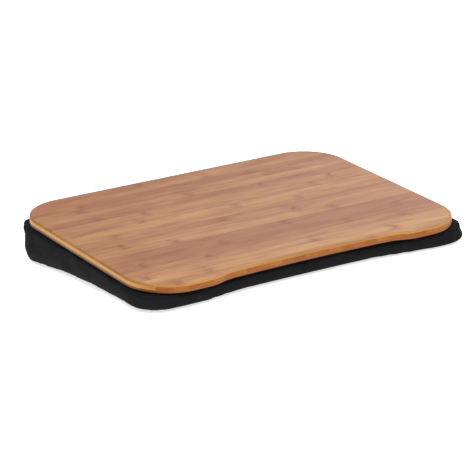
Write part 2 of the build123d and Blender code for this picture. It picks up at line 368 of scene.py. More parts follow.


# end grain: dots of vessels, where the surface faces along the fibres; the core's and the bottom ply's
# end-grain colours also hold painted shade
def endGrain(tree, facing, moved, axis, tone, stops):
    dotShare, base, toneShare = bamboo["endTone"]
    dots = addNode(tree, "TexVoronoi", {"Scale": 1.0},
                   {"Vector": stretched(tree, moved, axis, *bamboo["pith"])})
    dotTone = addNode(tree, "Math MULTIPLY_ADD", {1: dotShare, 2: base}, {0: dots})
    shade = addNode(tree, "Math MULTIPLY_ADD", {1: toneShare}, {0: tone, 2: dotTone})
    sides = addNode(tree, "SeparateXYZ", links={0: facing})
    ahead = addNode(tree, "Math ABSOLUTE", {}, {0: sides.outputs[axis]})
    begins, full = bamboo["endTurn"]
    mask = addNode(tree, "MapRange", {**eased, "From Min": begins, "From Max": full}, {"Value": ahead})
    return mask, addNode(tree, "ValToRGB", links={0: shade}, stops=stops)


# fibres run along axis 0 or 1 of the board's level space; the stave attribute holds tone, a knuckle's
# place from the board's left or front end, the knuckles' spacing and a seed for each stave
def bambooMaterial(name, axis, staves):
    b, shades = bamboo, plyShades[name]
    material, tree, coord = startMaterial(name)
    facing = coord.node.outputs["Normal"]
    level = addNode(tree, "Mapping", levelSpace, {"Vector": coord})
    place = addNode(tree, "SeparateXYZ", links={0: level})
    stave = addNode(tree, "Attribute", {"attribute_name": "stave"})
    values = addNode(tree, "SeparateColor", links={0: stave.outputs["Color"]})
    tone, knuckle, spacing = (values.outputs[i] for i in range(3))
    seed = addNode(tree, "VectorMath SCALE", {0: b["seedSpread"]}, {"Scale": stave.outputs["Alpha"]})
    moved = addNode(tree, "VectorMath ADD", {}, {0: level, 1: seed})
    figure = {kind: addNode(tree, "TexNoise", {"Scale": 1.0, "Detail": detail, "Roughness": b["fray"]},
                            {"Vector": stretched(tree, moved, axis, length, width)})
              for kind, (length, width, detail) in b["figures"].items()}

    # tone: the stave's own, with broad streaks, clouds and fibres over it
    shade = tone
    for kind, spread in b["toneSpread"].items():
        part = addNode(tree, "Math MULTIPLY_ADD", {1: spread, 2: -spread / 2}, {0: figure[kind]})
        shade = addNode(tree, "Math ADD", {}, {0: shade, 1: part})
    colour = addNode(tree, "ValToRGB", links={0: shade}, stops=shades["face"])

    run = addNode(tree, "Math ADD", {1: board["size"][axis] / 2 - boardMiddle[axis]},
                  {0: place.outputs[axis]})
    for mask, over in (
            (knuckleMask(tree, run, knuckle, spacing, figure), b["knuckleShade"]),
            (glueMask(tree, place, 1 - axis, staves), b["glueShade"]),
            (rimAndSideShadeMask(tree, facing), shades["rim"])):
        colour = addNode(tree, "MixRGB", {"Color2": linear(over)}, {"Fac": mask, "Color1": colour})
    endMask, end = endGrain(tree, facing, moved, axis, tone, shades["end"])
    colour = addNode(tree, "MixRGB", links={"Fac": endMask, "Color1": colour, "Color2": end})

    low, high = (shades["roughness"] + spread for spread in b["glossSpread"])
    gloss = addNode(tree, "MapRange", {"To Min": low, "To Max": high}, {"Value": figure["fibre"]})
    bump = addNode(tree, "Bump", {"Strength": b["bumpStrength"], "Distance": b["bump"] * mm},
                   {"Height": figure["fibre"]})
    return endMaterial(material, {"IOR": b["index"]},
                       {"Base Color": colour, "Roughness": gloss, "Normal": bump})


# the stave attribute of every face corner, chosen by the face's centre in level space
def markStaves(mesh, choose):
    marks = mesh.color_attributes.new("stave", "FLOAT_COLOR", "CORNER")
    for face in mesh.polygons:
        values = choose((toBoard @ face.center) / mm)
        for corner in face.loop_indices:
            marks.data[corner].color = values


# how many staves a point in level space lies from the ply's first edge
def stavesIn(point, axis, staves):
    length = board["size"][axis]
    return (point[axis] - boardMiddle[axis] + length / 2) / (length / staves)


# a ply as one shell: the walls between its glued staves are inside and go
def plyShell(node, axis, staves):
    bm = mergedCopy(node)
    inner = []
    for face in bm.faces:
        turns = stavesIn((toBoard @ face.calc_center_median()) / mm, axis, staves)
        square = abs((toBoard.to_3x3() @ face.normal)[axis]) > board["wallSquare"]
        if square and abs(turns - round(turns)) < board["wallNear"] and 0 < round(turns) < staves:
            inner.append(face)
    bmesh.ops.delete(bm, geom=inner, context="FACES")
    return bm


def makeBoard():
    b = board
    faceBamboo = bambooMaterial("lacqueredBamboo", 0, b["crossStaves"])
    coreBamboo = bambooMaterial("crossBamboo", 1, b["deepStaves"])
    backBamboo = bambooMaterial("plainBamboo", 0, b["crossStaves"])
    for number, (tone, knuckle, spacing) in enumerate(topStaves, start=1):
        node = f"top_stave_{number:02d}"
        stave = finishPiece(mergedCopy(node), node, "board", faceBamboo, sharp=40)
        markStaves(stave.data, lambda centre: (tone, knuckle, spacing, number / b["topSeeds"]))

    draw = Random(b["seed"])
    core = finishPiece(plyShell("core_staves", 0, b["deepStaves"]), "core_staves", "board",
                       coreBamboo, sharp=30)
    coreMarks = [(tone, draw.uniform(*b["coreKnuckles"]), draw.uniform(*b["knuckleSpacing"]),
                  draw.random() * b["seedSpan"]) for tone in coreTones]
    back = finishPiece(plyShell("bottom_staves", 1, b["crossStaves"]), "bottom_staves", "board",
                       backBamboo, sharp=30)
    backMarks = [(draw.uniform(*b["backTones"]), draw.uniform(*b["backKnuckles"]),
                  draw.uniform(*b["knuckleSpacing"]), draw.random() * b["seedSpan"])
                 for _ in range(b["crossStaves"])]
    for ply, axis, marks in ((core, 0, coreMarks), (back, 1, backMarks)):
        last = len(marks) - 1
        markStaves(ply.data, lambda centre: marks[max(0, min(last, floor(stavesIn(centre, axis, last + 1))))])


makeBoard()
print("board made")

# cushion: the sewn cover over its foam, blown up a little as cloth and then creased along its seams
cushion = {
    "nodes": ["foam_wedge", "cover_top_panel", "cover_bottom_panel", "front_band", "left_band", "right_band",
              "back_band_upper", "back_band_lower", "zip_tape_upper", "zip_tape_lower"],
    "voxel": 4.5,
    "held": 1.5,  # cloth this near the floor or the board stays where it is
    "zipBack": 165.0,  # the zip's zone lies behind this
    "zipHalf": 12.5,  # and this far above and below its middle
    "zipMargin": 4.0,
    "frames": 20,
    "quality": 5,
    "mass": 0.2,
    "bending": 0.5,
    "pressure": 1.8,
    "slack": 0.004,
    "cap": 4.0,
    "evenOut": (1.0, 0.5),  # above this height the skin's steps are evened out, by this share
    "level": 0.05,  # cloth that faces sideways by less than this share isn't pushed
    "lean": 4,  # and by more than a quarter in full
    "foot": 2.5,  # how far the rolled foot is filled out again, all round
    "footShare": 0.36,  # and up to what share of the wall's height
    "bag": (5.0, 6.0),  # height and spread of what bags out over the floor
    "belly": (0.72, 0.28),  # the same over the middle and under the top seam, in shares of the height
    "brow": (0.95, 0.1),
    "cornerReach": 90,
    # each corner as its foam fills it, by side and end, pushed out in millimetres
    # at the foot, just above it, over the middle and under the top seam
    "corners": {
        (-1, -1): (-4.5, 0.6, 0.0, 0.4),
        (1, -1): (4.0, 6.0, -0.4, 1.6),
        (-1, 1): (4.0, 1.4, -2.5, 2.0),
        (1, 1): (4.0, 1.4, -2.5, 2.0),
    },
    "topSeam": 1.8,  # seam below the top, and above the floor
    "footSeam": 2.2,
    "seamStep": 0.4,
    "onSeam": (0.05, 0.3),  # how near its line an edge's ends and its middle are
    "seamHalf": 1.5,
    "seamDeep": 1.5,
    "uprightDeep": 0.7,
    "slotDeep": 0.1,
    "sinkSpread": 0.9,
    "cutReach": 20,  # a short cut keeps this near its own plane
    "sideWall": 220,
    "backWall": 150,
    "footZone": 10,
    "puckerReach": 12.0,
    "pucker": 0.3,
    "puckerTurns": 95,
    "beltShare": 0.4,  # the belt that the cloth's run is measured on, as a share of the height
    "cloth": 0.8,
    "thread": 0.8,
    "shades": ("0E0E10", "1A1A1C"),
}
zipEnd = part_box("back_band_upper")[1].x
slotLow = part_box("back_band_lower")[1].z
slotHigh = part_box("back_band_upper")[0].z
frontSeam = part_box("front_band")[1].y
zipHeight = (slotLow + slotHigh) / 2


def inZipZone(point, margin=0.0):
    high = abs(point.z - zipHeight) < cushion["zipHalf"] * mm + margin
    return high and point.y > cushion["zipBack"] * mm and abs(point.x) < zipEnd + margin


def cushionTop():
    return max((toBoard @ v.co).z for v in nodes["cover_top_panel"].data.vertices)


def bell(value, centre, spread):
    return exp(-((value - centre) / spread) ** 2)


def treeOf(points):
    tree = KDTree(len(points))
    for i, point in enumerate(points):
        tree.insert(point, i)
    tree.balance()
    return tree


# one closed skin round CAD solids
def closedSkin(names, voxel):
    bm = bmesh.new()
    for name in names:
        bm.from_mesh(nodes[name].data)
    skin = addMesh("skin", bm)
    remesh = skin.modifiers.new("voxels", "REMESH")
    remesh.mode = "VOXEL"
    remesh.voxel_size = voxel * mm
    skin.data = bpy.data.meshes.new_from_object(skin.evaluated_get(bpy.context.evaluated_depsgraph_get()))
    skin.modifiers.clear()
    return skin


def puffCover(skin):
    c = cushion
    top = cushionTop()
    base = [v.co.copy() for v in skin.data.vertices]
    held = skin.vertex_groups.new(name="held")
    for i, co in enumerate(base):
        onTop = (toBoard @ co).z > top - c["held"] * mm
        if co.z < c["held"] * mm or onTop or inZipZone(co, c["zipMargin"] * mm):
            held.add([i], 1.0, "REPLACE")
    s = skin.modifiers.new("cover", "CLOTH").settings
    s.quality = c["quality"]
    s.mass = c["mass"]
    s.bending_stiffness = c["bending"]
    s.use_pressure = True
    s.uniform_pressure_force = c["pressure"]
    s.shrink_min = -c["slack"]
    s.vertex_group_mass = "held"
    s.effector_weights.gravity = 0
    for number in range(1, c["frames"] + 1):
        scene.frame_set(number)
    puffed = skin.evaluated_get(bpy.context.evaluated_depsgraph_get()).data
    moved = [v.co - start for v, start in zip(puffed.vertices, base)]
    skin.modifiers.clear()
    scene.frame_set(1)
    for v, start, move in zip(skin.data.vertices, base, moved):
        v.co = start + move * min(1.0, c["cap"] * mm / max(move.length, 1e-9))


# the walls are filled unevenly: pushed out level, by height and by nearness to a corner
def fillCorners(bm):
    c = cushion
    low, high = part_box("front_band")[0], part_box("back_band_upper")[1]
    top = cushionTop()
    bm.normal_update()
    moves = []
    for v in bm.verts:
        level = Vector((v.normal.x, v.normal.y, 0))
        if level.length < c["level"] or inZipZone(v.co, c["zipMargin"] * mm):
            continue
        share = v.co.z * cos(slope) / (top + v.co.y * sin(slope))
        heights = (max(0.0, 1 - share / c["footShare"]) ** 3, bell(v.co.z / mm, *c["bag"]),
                   bell(share, *c["belly"]), bell(share, *c["brow"]))
        push = c["foot"] * heights[0]
        for (side, end), pushes in c["corners"].items():
            corner = Vector((abs(low.x) * side, high.y if end > 0 else low.y))
            near = max(0.0, 1 - ((v.co.xy - corner).length / (c["cornerReach"] * mm)) ** 2)
            push += near * sum(p * h for p, h in zip(pushes, heights))
        moves.append((v, level.normalized() * min(1.0, level.length * c["lean"]) * push * mm))
    for v, move in moves:
        v.co += move


# cut rows where the seams run; their points come back a fraction of a millimetre apart, with their depths
def cutSeams(bm, top):
    c = cushion
    reach, footZone = c["cutReach"] * mm, c["footZone"] * mm
    sideWall, backWall = c["sideWall"] * mm, c["backWall"] * mm
    cuts = [
        ("seamDeep", boardUp * top, boardUp, lambda p: True),
        ("seamDeep", upright * c["footSeam"] * mm, upright, lambda p: p.z < footZone),
        ("uprightDeep", along * frontSeam, along,
         lambda p: abs(p.x) > sideWall and abs(p.y - frontSeam) < reach),
        ("uprightDeep", across * zipEnd, across, lambda p: p.y > backWall and abs(p.x - zipEnd) < reach),
        ("uprightDeep", across * -zipEnd, across, lambda p: p.y > backWall and abs(p.x + zipEnd) < reach),
        *(("slotDeep", upright * height, upright, inZipZone) for height in (slotLow, slotHigh)),
    ]
    seamPoints, depths = [], []
    for kind, place, normal, near in cuts:
        faces = [f for f in bm.faces if near(f.calc_center_median())]
        geom = set(faces)
        for face in faces:
            geom.update(face.verts)
            geom.update(face.edges)
        cut = bmesh.ops.bisect_plane(bm, geom=list(geom), dist=0.01 * mm, plane_co=place, plane_no=normal)
        lines = only("BMEdge", cut["geom_cut"])
        if kind == "uprightDeep":  # these stop at the two long seams
            lines = [e for e in lines if all(boardUp.dot(v.co) < top + 1e-6
                                             and v.co.z > c["footSeam"] * mm - 1e-6 for v in e.verts)]
        for line in lines:
            a, b = (v.co.copy() for v in line.verts)
            steps = max(1, int((b - a).length / (c["seamStep"] * mm)))
            seamPoints += [a.lerp(b, i / steps) for i in range(steps + 1)]
            depths += [c[kind]] * (steps + 1)
    return seamPoints, depths


# seams: rows on both sides, the middle one sewn down, and puckers beside it
def sewSeams(bm, seamPoints, depths):
    c = cushion
    tree = treeOf(seamPoints)
    ends, middle = (near * mm for near in c["onSeam"])
    onSeam = [e for e in bm.edges if all(tree.find(v.co)[2] < ends for v in e.verts)
              and tree.find((e.verts[0].co + e.verts[1].co) / 2)[2] < middle]
    bmesh.ops.bevel(bm, geom=onSeam, offset=c["seamHalf"] * mm, offset_type="OFFSET", segments=2, profile=0.5,
                    affect="EDGES", material=-1, clamp_overlap=True)
    bm.normal_update()
    moves = {}
    for v in bm.verts:
        _, index, away = tree.find(v.co)
        away /= mm
        pucker = c["pucker"] * max(0.0, 1 - away / c["puckerReach"]) * noise.noise(v.co * c["puckerTurns"])
        if (v.co.z < c["held"] * mm and v.normal.z < -0.5) or inZipZone(v.co):
            pucker = 0  # the cover lies flat on the floor and round the zip
        moves[v] = v.normal * (pucker - depths[index] * bell(away, 0, c["sinkSpread"])) * mm
    for v, move in moves.items():
        v.co += move
        v.co.z = max(v.co.z, 0.0)


def panelOf(point, top):
    c = cushion
    if boardUp.dot(point) > top:
        return "cover_top_panel"
    if point.z < c["footSeam"] * mm:
        return "cover_bottom_panel"
    if point.y < frontSeam:
        return "front_band"
    if point.y > c["backWall"] * mm and abs(point.x) < zipEnd:
        if point.z > slotHigh:
            return "back_band_upper"
        return "back_band_lower" if point.z < slotLow else None
    return "left_band" if point.x < 0 else "right_band"


# the wall's run from the front's middle, as the cloth's u coordinate, on a belt round the cushion
def wallRun(bm):
    belt = bm.copy()
    lean = slope * cushion["beltShare"]
    normal = Vector((0, -sin(lean), cos(lean)))
    geom = belt.verts[:] + belt.edges[:] + belt.faces[:]
    middle = normal * (cushionTop() * cushion["beltShare"])
    cut = bmesh.ops.bisect_plane(belt, geom=geom, plane_co=middle, plane_no=normal)
    ring = {}
    for edge in only("BMEdge", cut["geom_cut"]):
        for v in edge.verts:
            ring.setdefault(v, []).append(edge.other_vert(v))
    start = min((v for v in ring if v.co.y < 0), key=lambda v: abs(v.co.x))
    here, before = max(ring[start], key=lambda v: v.co.x), start
    line = [(start.co.copy(), 0.0)]
    run = 0.0
    while here is not start and len(line) < len(ring):
        run += (here.co - before.co).length
        line.append((here.co.copy(), run))
        onward = next((v for v in ring[here] if v is not before), None)
        if onward is None:
            break
        here, before = onward, here
    belt.free()
    return treeOf([(point.x, point.y, 0) for point, _ in line]), line, run


def addClothMap(bm, wall, flat):
    tree, line, length = wall
    layer = bm.loops.layers.uv.new("weave")
    for face in bm.faces:
        runs = []
        for corner in face.loops:
            p = corner.vert.co
            if flat:
                runs.append((p.x, p.y))
                continue
            _, i, _ = tree.find((p.x, p.y, 0))
            point, run = line[i]
            ahead = (line[(i + 1) % len(line)][0] - point).normalized()
            runs.append((run + ahead.dot(Vector((p.x, p.y, point.z)) - point), p.z))
        if not flat and max(r[0] for r in runs) - min(r[0] for r in runs) > length / 2:
            runs = [(r + length if r < length / 2 else r, z) for r, z in runs]
        for corner, uv in zip(face.loops, runs):
            corner[layer].uv = uv


# black polyester oxford cloth: dull, with a plain weave that only shows near by, drawn about twice as
# coarse as the real one
def clothMaterial():
    material, tree, coord = startMaterial("blackOxfordCloth")
    run = addNode(tree, "UVMap", {"uv_map": "weave"})
    threads = addNode(tree, "VectorMath SCALE", {"Scale": 1000 / cushion["thread"]}, {0: run})
    part = addNode(tree, "SeparateXYZ", links={0: threads})
    heights, cells = [], []
    for side in (0, 1):
        turn = addNode(tree, "Math MULTIPLY", {1: pi}, {0: part.outputs[side]})
        wave = addNode(tree, "Math SINE", {}, {0: turn})
        heights.append(addNode(tree, "Math ABSOLUTE", {}, {0: wave}))
        cells.append(addNode(tree, "Math FLOOR", {}, {0: part.outputs[side]}))
    total = addNode(tree, "Math ADD", {}, {0: cells[0], 1: cells[1]})
    over = addNode(tree, "Math PINGPONG", {1: 1.0}, {0: total})
    weave = addNode(tree, "Mix", {"data_type": "FLOAT"}, {0: over, 2: heights[0], 3: heights[1]})
    # a mottle of about 30 mm goes over the weave
    mottle = addNode(tree, "TexNoise", {"Scale": 34.0, "Detail": 4.0}, {"Vector": coord})
    mixed = addNode(tree, "Math MULTIPLY_ADD", {1: 0.35}, {0: weave, 2: mottle})
    dark, light = cushion["shades"]
    # painted shade: the weave's low parts between threads come out darker; the mottle is random tone
    colour = addNode(tree, "ValToRGB", links={0: mixed}, stops=((0.25, dark), (0.95, light)))
    bump = addNode(tree, "Bump", {"Strength": 0.6, "Distance": 0.15 * mm}, {"Height": weave})
    # the low index leaves hardly any shine
    return endMaterial(material, {"Roughness": 0.9, "IOR": 1.18}, {"Base Color": colour, "Normal": bump})


def makeCushion():
    c = cushion
    coverCloth = clothMaterial()
    skin = closedSkin(c["nodes"], c["voxel"])
    puffCover(skin)
    print("cover puffed")
    bm = bmesh.new()
    bm.from_mesh(skin.data)
    bpy.data.objects.remove(skin)
    height, share = c["evenOut"]
    bmesh.ops.smooth_vert(bm, verts=[v for v in bm.verts if v.co.z > height * mm], factor=share,
                          use_axis_x=True, use_axis_y=True, use_axis_z=True)
    fillCorners(bm)
    top = cushionTop() - c["topSeam"] * mm
    sewSeams(bm, *cutSeams(bm, top))
    print("seams sewn")

    wall = wallRun(bm)
    bm.faces.index_update()
    panels = {}
    for face in bm.faces:
        panels.setdefault(panelOf(face.calc_center_median(), top), set()).add(face.index)
    panels.pop(None, None)  # the slot that the zip lies in
    for node, members in panels.items():
        part = bm.copy()
        part.faces.ensure_lookup_table()
        bmesh.ops.delete(part, geom=[f for f in part.faces if f.index not in members], context="FACES")
        addClothMap(part, wall, flat=node in ("cover_top_panel", "cover_bottom_panel"))
        piece = finishPiece(part, node, "cushion", coverCloth, softAngle)
        smooth = piece.modifiers.new("smooth", "SUBSURF")
        smooth.levels = smooth.render_levels = 1
        thick = piece.modifiers.new("cloth", "SOLIDIFY")
        thick.thickness = c["cloth"] * mm
        thick.offset = -1
    bm.free()


makeCushion()
print("cushion made")

# foam: one cut block inside the cover, clear of the cover's creases and of the slider's back plate
foam = {
    "voxel": 6.0,
    "inset": 2.4,
    "slotMargin": 2.0,
    "slotFloor": 5.0,  # behind the zip's middle
    "cell": 1.1,  # pores, drawn about twice as large as real ones
}


# open-cell upholstery foam: chalky and full of small pores
def foamMaterial():
    material, tree, coord = startMaterial("openCellFoam")
    cells = addNode(tree, "TexVoronoi", {"Scale": 1000 / foam["cell"]}, {"Vector": coord})
    # painted shade: each pore's dip is darker
    colour = addNode(tree, "ValToRGB", links={0: cells}, stops=((0.0, "A79F86"), (0.6, "E9E2CC")))
    bump = addNode(tree, "Bump", {"Strength": 0.5, "Distance": 0.4 * mm}, {"Height": cells})
    return endMaterial(material, {"Roughness": 0.95}, {"Base Color": colour, "Normal": bump})


def makeFoam():
    skin = closedSkin(["foam_wedge"], foam["voxel"])
    bm = bmesh.new()
    bm.from_mesh(skin.data)
    bpy.data.objects.remove(skin)
    bm.normal_update()
    moves = [(v, v.normal * foam["inset"] * mm) for v in bm.verts]
    zipMiddle = sum(corner.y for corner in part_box("zip_tape_upper")) / 2
    for v, move in moves:
        v.co -= move
        if inZipZone(v.co, foam["slotMargin"] * mm):
            v.co.y = min(v.co.y, zipMiddle - foam["slotFloor"] * mm)
    piece = finishPiece(bm, "foam_wedge", "cushion", foamMaterial(), softAngle)


makeFoam()
print("foam made")

# hook-and-loop strips: woven nylon, hooks under the board and a brushed loop pile sewn to the cover
strips = {
    "base": 0.45,
    "corner": 2.0,
    "pileStep": 0.9,
    "pile": 0.35,
    "pileInset": 1.6,  # times that of the stitches
    "pileEdge": (0.5, 0.8),  # this wide, and sunk to this share of the tape's thickness
    "pileTurns": 1400,
    "hookPitch": (1.7, 1.9),
    "hookWidth": 0.35,
    "hook": (0.7, 0.3),  # stem and tip, in shares of its height
    "stitchInset": 1.6,
    "stitch": (3.4, 2.6, 0.45),  # pitch, length and thickness
    # name, shades, spacing of the ribs and roughness
    "loopLook": ("brushedLoopNylon", ("0C0C0D", "2A2A2C"), 1.2, 0.9),
    "hookLook": ("hookNylon", ("101012", "2E2E31"), 1.7, 0.55),
}


# each strip's lowest and highest corner in the board's level space, from its node's four solids
def stripPlaces(node):
    corners = [toBoard @ v.co for v in nodes[node].data.vertices]
    middle = sum(p.y for p in corners) / len(corners)
    places = []
    for sideX in (-1, 1):
        for sideY in (-1, 1):
            own = [p for p in corners if p.x * sideX > 0 and (p.y - middle) * sideY > 0]
            places.append([Vector([pick(p[i] for p in own) for i in range(3)]) for pick in (min, max)])
    return places


def tapeSlab(bm, low, high, bottom, top, corner):
    before = set(bm.faces)
    made = bmesh.ops.create_grid(bm, x_segments=1, y_segments=1, size=0.5)
    middle = (low + high) / 2
    bmesh.ops.scale(bm, vec=(high.x - low.x, high.y - low.y, 1), verts=made["verts"])
    bmesh.ops.translate(bm, vec=(middle.x, middle.y, bottom), verts=made["verts"])
    bmesh.ops.bevel(bm, geom=made["verts"], offset=corner * mm, segments=4, profile=0.5, affect="VERTICES",
                    material=-1)
    outline = [f for f in bm.faces if f not in before]
    raised = bmesh.ops.extrude_face_region(bm, geom=outline)
    bmesh.ops.translate(bm, vec=(0, 0, top - bottom), verts=only("BMVert", raised["geom"]))
    bmesh.ops.recalc_face_normals(bm, faces=[f for f in bm.faces if f not in before])


# nylon tape: black with fine ribs across it, dull under its fuzz of loops and shinier among the hooks
def tapeMaterial(name, shades, rib, roughness):
    material, tree, coord = startMaterial(name)
    level = addNode(tree, "Mapping", levelSpace, {"Vector": coord})
    # a wave texture's bands lie 0.314 apart at scale 1
    ribs = addNode(tree, "TexWave", {"wave_type": "BANDS", "bands_direction": "X", "Scale": 0.314 / rib,
                   "Distortion": 0.6, "Detail": 2.0, "Detail Scale": 3.0}, {"Vector": level})
    fuzz = addNode(tree, "TexNoise", {"Scale": 1.1, "Detail": 5.0, "Roughness": 0.7}, {"Vector": level})
    height = addNode(tree, "Math MULTIPLY_ADD", {1: 0.5}, {0: ribs.outputs["Fac"], 2: fuzz})
    # painted shade: the tape is darker where its ribs and fuzz are low
    colour = addNode(tree, "ValToRGB", links={0: height}, stops=((0.3, shades[0]), (1.0, shades[1])))
    bump = addNode(tree, "Bump", {"Strength": 0.6, "Distance": 0.2 * mm}, {"Height": height})
    return endMaterial(material, {"Roughness": roughness, "Sheen Weight": 0.3},
                       {"Base Color": colour, "Normal": bump})


# bonded polyester sewing thread: black, mottled by its twist about every millimetre
def threadMaterial():
    material, tree, coord = startMaterial("blackThread")
    twist = addNode(tree, "TexNoise", {"Scale": 900.0, "Detail": 3.0}, {"Vector": coord})
    shade = addNode(tree, "ValToRGB", links={0: twist}, stops=((0.3, "1B1B1D"), (0.75, "3A3A3E")))
    return endMaterial(material, {"Roughness": 0.6}, {"Base Color": shade})


# copies of a small shape, one for each matrix
def addCopies(bm, shape, places):
    template = bpy.data.meshes.new("template")
    shape.to_mesh(template)
    size = len(shape.verts)
    bm.verts.index_update()
    start = len(bm.verts)
    for _ in places:
        bm.from_mesh(template)
    bm.verts.ensure_lookup_table()
    for i, place in enumerate(places):
        for v in bm.verts[start + i * size:start + (i + 1) * size]:
            v.co = place @ v.co
    bpy.data.meshes.remove(template)


# a stitch: a short rounded bar of thread, half sunk in the cloth
def stitchShape():
    shape = bmesh.new()
    bmesh.ops.create_uvsphere(shape, u_segments=6, v_segments=4, radius=0.5,
                              matrix=Matrix.Rotation(pi / 2, 4, "Y"))
    return shape


def stitchPlace(place, run, normal, stitch):
    _, length, thick = (size * mm for size in stitch)
    side = normal.cross(run)
    turn = Matrix((run * length, side * thick, normal * thick)).transposed().to_4x4()
    return Matrix.Translation(place) @ turn


# stitches round a strip, on the face of its base tape
def stitchRound(low, high):
    s = strips
    inset, face = s["stitchInset"] * mm, low.z + s["base"] * mm
    x0, x1, y0, y1 = low.x + inset, high.x - inset, low.y + inset, high.y - inset
    corners = [Vector((x, y, face)) for x, y in ((x0, y0), (x1, y0), (x1, y1), (x0, y1))]
    places = []
    for a, b in zip(corners, corners[1:] + corners[:1]):
        count = round((b - a).length / (s["stitch"][0] * mm))
        places += [stitchPlace(a.lerp(b, (i + 0.5) / count), (b - a).normalized(), upright, s["stitch"])
                   for i in range(count)]
    return places


# a hook: a stem whose tip leans over
def hookShape(width, reach):
    stem, tip = (reach * share for share in strips["hook"])
    shape = bmesh.new()
    bmesh.ops.create_cone(shape, cap_ends=True, segments=4, radius1=width / 2, radius2=width / 2, depth=stem)
    end = [f for f in shape.faces if f.normal.z < -0.9]
    bent = bmesh.ops.extrude_face_region(shape, geom=end)
    bmesh.ops.delete(shape, geom=end, context="FACES_ONLY")
    bmesh.ops.translate(shape, vec=(width, 0, -tip), verts=only("BMVert", bent["geom"]))
    bmesh.ops.translate(shape, vec=(0, 0, tip / 2), verts=shape.verts)
    return shape


def toWorld(bm):
    bmesh.ops.transform(bm, matrix=toBoard.inverted(), verts=bm.verts)


# loop strips: a base tape with an uneven pile on it, sewn down round its edge
def makeLoopStrips():
    s = strips
    loops, thread = bmesh.new(), bmesh.new()
    stitchPlaces = []
    inset = s["stitchInset"] * s["pileInset"] * mm
    edgeWide, sunk = s["pileEdge"]
    for low, high in stripPlaces("loop_strips"):
        tapeSlab(loops, low, high, low.z, low.z + s["base"] * mm, s["corner"])
        middle = (low + high) / 2
        columns, rows = (int(length / mm / s["pileStep"]) for length in (high.x - low.x, high.y - low.y))
        pile = bmesh.ops.create_grid(loops, x_segments=columns, y_segments=rows, size=0.5)["verts"]
        bmesh.ops.scale(loops, vec=(high.x - low.x - 2 * inset, high.y - low.y - 2 * inset, 1), verts=pile)
        bmesh.ops.translate(loops, vec=(middle.x, middle.y, high.z - s["pile"] * mm), verts=pile)
        for v in pile:
            edge = min(high.x - inset - v.co.x, v.co.x - low.x - inset,
                       high.y - inset - v.co.y, v.co.y - low.y - inset)
            if edge < edgeWide * mm:
                v.co.z = low.z + s["base"] * mm * sunk
            else:
                v.co.z += s["pile"] * mm * noise.noise(v.co * s["pileTurns"])
        stitchPlaces += stitchRound(low, high)
    addCopies(thread, stitchShape(), stitchPlaces)
    toWorld(loops)
    toWorld(thread)
    finishPiece(loops, "loop_strips", "cushion", tapeMaterial(*s["loopLook"]), sharp=50)
    finishPiece(thread, "strip_stitches", "cushion", blackThread, sharp=60)


# hook strips: a base tape stuck to the board, with rows of small hooks pointing down
def makeHookStrips():
    s = strips
    hooks = bmesh.new()
    hookPlaces = []
    pitchX, pitchY = (pitch * mm for pitch in s["hookPitch"])
    for low, high in stripPlaces("hook_strips"):
        face = high.z - s["base"] * mm
        tapeSlab(hooks, low, high, face, high.z, s["corner"])
        columns, rows = int((high.x - low.x) / pitchX) - 2, int((high.y - low.y) / pitchY) - 2
        middle = (low + high) / 2
        reach = face - low.z
        hookPlaces += [
            Matrix.Translation((middle.x + (column - (columns - 1) / 2 + row % 2 / 2) * pitchX,
                                middle.y + (row - (rows - 1) / 2) * pitchY, low.z + reach / 2))
            for row in range(rows) for column in range(columns)]
    addCopies(hooks, hookShape(s["hookWidth"] * mm, reach), hookPlaces)
    toWorld(hooks)
    finishPiece(hooks, "hook_strips", "board", tapeMaterial(*s["hookLook"]), sharp=40)


blackThread = threadMaterial()
makeLoopStrips()
makeHookStrips()
print("strips made")

# zip: woven tapes with a corded edge, moulded teeth, and an enamelled slider with its pull
zipper = {
    "tapeBody": 0.5,
    "chainEnd": 184.0,  # past the slider the tapes' edges lie together, sewn over with a bar tack
    "closeOver": 5.0,
    "bead": 1.2,
    "beadWide": 1.4,
    "beadEdge": (0.3, 0.6),  # how far its edge is rounded, in shares of its width and thickness
    "toothBevel": 0.14,
    "sliderBevel": 0.22,
    "pullBevel": 0.16,
    "bevelPast": 28,  # degrees that an edge turns by, and how far a flat face may
    "nearlyFlat": 3.0,
    "stitchRows": (1.8, 6.4),  # from the slot's edges
    "stitchMargin": 6,
    "stitch": (3.0, 2.3, 0.4),  # pitch, length and thickness, and those of a bar tack's threads
    "tack": (0.42, 5.5, 0.5),
    "tackThreads": 6,
    "tackStart": 1.5,
    "herringbone": (1.6, 0.9),  # height of its bands and spacing of its diagonals, about twice real size
}


def makeTape(node, side, cloth):
    z = zipper
    low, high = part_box(node)
    middle = (low.y + high.y) / 2
    inner, outer = (low.z, high.z) if side > 0 else (high.z, low.z)
    bm = bmesh.new()
    half, bead, wide = z["tapeBody"] / 2 * mm, z["bead"] / 2 * mm, z["beadWide"] * mm
    inward, thin = z["beadEdge"]
    profile = [(inner, -bead * thin), (inner + side * wide * inward, -bead), (inner + side * wide, -half),
               (outer, -half), (outer, half), (inner + side * wide, half),
               (inner + side * wide * inward, bead), (inner, bead * thin)]
    ends = [bm.faces.new([bm.verts.new((low.x, middle + y, height)) for height, y in profile])]
    first = low.x / mm
    close, over = z["chainEnd"], z["chainEnd"] + z["closeOver"]
    stops = [-over, -close, close, over]
    for start, end in zip([first] + stops, stops + [high.x / mm]):
        pulled = bmesh.ops.extrude_face_region(bm, geom=ends)["geom"]
        bmesh.ops.translate(bm, vec=((end - start) * mm, 0, 0), verts=only("BMVert", pulled))
        if start != first:  # only the tape's two ends keep their faces
            bmesh.ops.delete(bm, geom=ends, context="FACES_ONLY")
        ends = only("BMFace", pulled)
    # past the chain the corded edges come together
    for v in bm.verts:
        if abs(v.co.x) > (close + over) / 2 * mm and side * (v.co.z - inner) < wide + half:
            v.co.z += zipHeight - inner
    bmesh.ops.recalc_face_normals(bm, faces=bm.faces)
    finishPiece(bm, node, "cushion", cloth, sharp=30)


